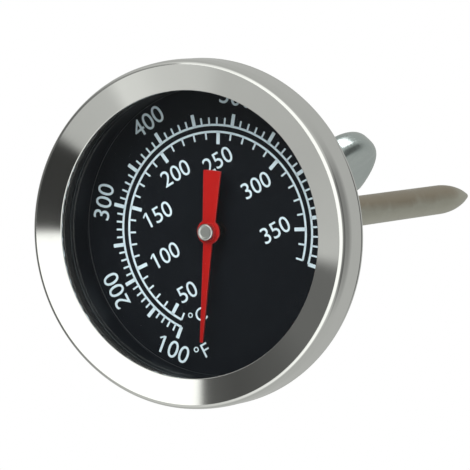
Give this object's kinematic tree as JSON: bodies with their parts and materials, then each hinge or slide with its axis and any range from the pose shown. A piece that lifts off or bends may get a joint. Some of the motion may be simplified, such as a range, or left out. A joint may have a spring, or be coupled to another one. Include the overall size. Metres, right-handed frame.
{
  "type": "grill thermometer",
  "caption": "Round dial thermometer for a barbecue lid: polished bezel, black dial with a red pointer, a long pointed stem and a wing nut on a threaded shank.",
  "frame": {"origin": "on the stem's axis, in the plane of the case's flat back, which seats on the lid", "axes": "+Y along the stem towards its point, the dial faces -Y, +Z towards the dial's 12 o'clock"},
  "size_m": [0.053, 0.1071, 0.053],
  "materials": {
    "polished_steel": "mirror polished stainless steel",
    "case_steel": "drawn stainless steel, satin",
    "glass": "clear flat glass",
    "rubber": "black silicone, matt",
    "black_enamel": "black satin enamel",
    "aluminium_plate": "plain rolled aluminium",
    "red_paint": "satin red paint",
    "nickel_pin": "bright nickel",
    "brass": "turned brass",
    "shaft_steel": "drawn steel wire",
    "bimetal": "rolled bimetal strip",
    "stem_steel": "drawn stainless tube, slightly heat tinted",
    "brass_plated": "nickel-plated brass, machined thread",
    "zinc": "bright zinc plating"
  },
  "bodies": {
    "case": {"case_cup": "case_steel", "bezel_ring": "polished_steel", "lens_glass": "glass", "lens_gasket": "rubber", "spacer_ring": "black_enamel", "dial_plate": "black_enamel", "dial_seat_ring": "aluminium_plate", "threaded_shank": "brass_plated", "stem_tube": "stem_steel", "stem_tip": "stem_steel", "upper_shaft_bush": "brass", "lower_shaft_bush": "brass", "bimetal_helix": "bimetal", "coil_anchor": "brass"},
    "movement": {"pointer": "red_paint", "pointer_cap": "nickel_pin", "pointer_hub": "brass", "pointer_shaft": "shaft_steel", "coil_collar": "brass"},
    "washer": {"clamp_washer": "zinc"},
    "nut": {"wing_nut": "zinc"}
  },
  "joints": [
    {"name": "pointer_sweep", "type": "hinge", "parent": "case", "child": "movement", "pos_m": [0, 0, 0], "axis": [0, 1, 0], "range_deg": [-13.6, 286.4], "stiffness_Nm_per_rad": 0.0002, "deforming": ["bimetal_helix"]},
    {"name": "washer_slide", "type": "slide", "parent": "case", "child": "washer", "axis": [0, 1, 0], "range_m": [-0.00937, 0.0075]},
    {"name": "wing_nut_turn", "type": "hinge", "parent": "washer", "child": "nut", "pos_m": [0, 0.0116, 0], "axis": [0, 1, 0], "range_deg": [-2705, 2165]}
  ],
  "couplings": [
    {"joint": "wing_nut_turn", "follows": "washer_slide", "rad_per_m": 5026.5}
  ]
}
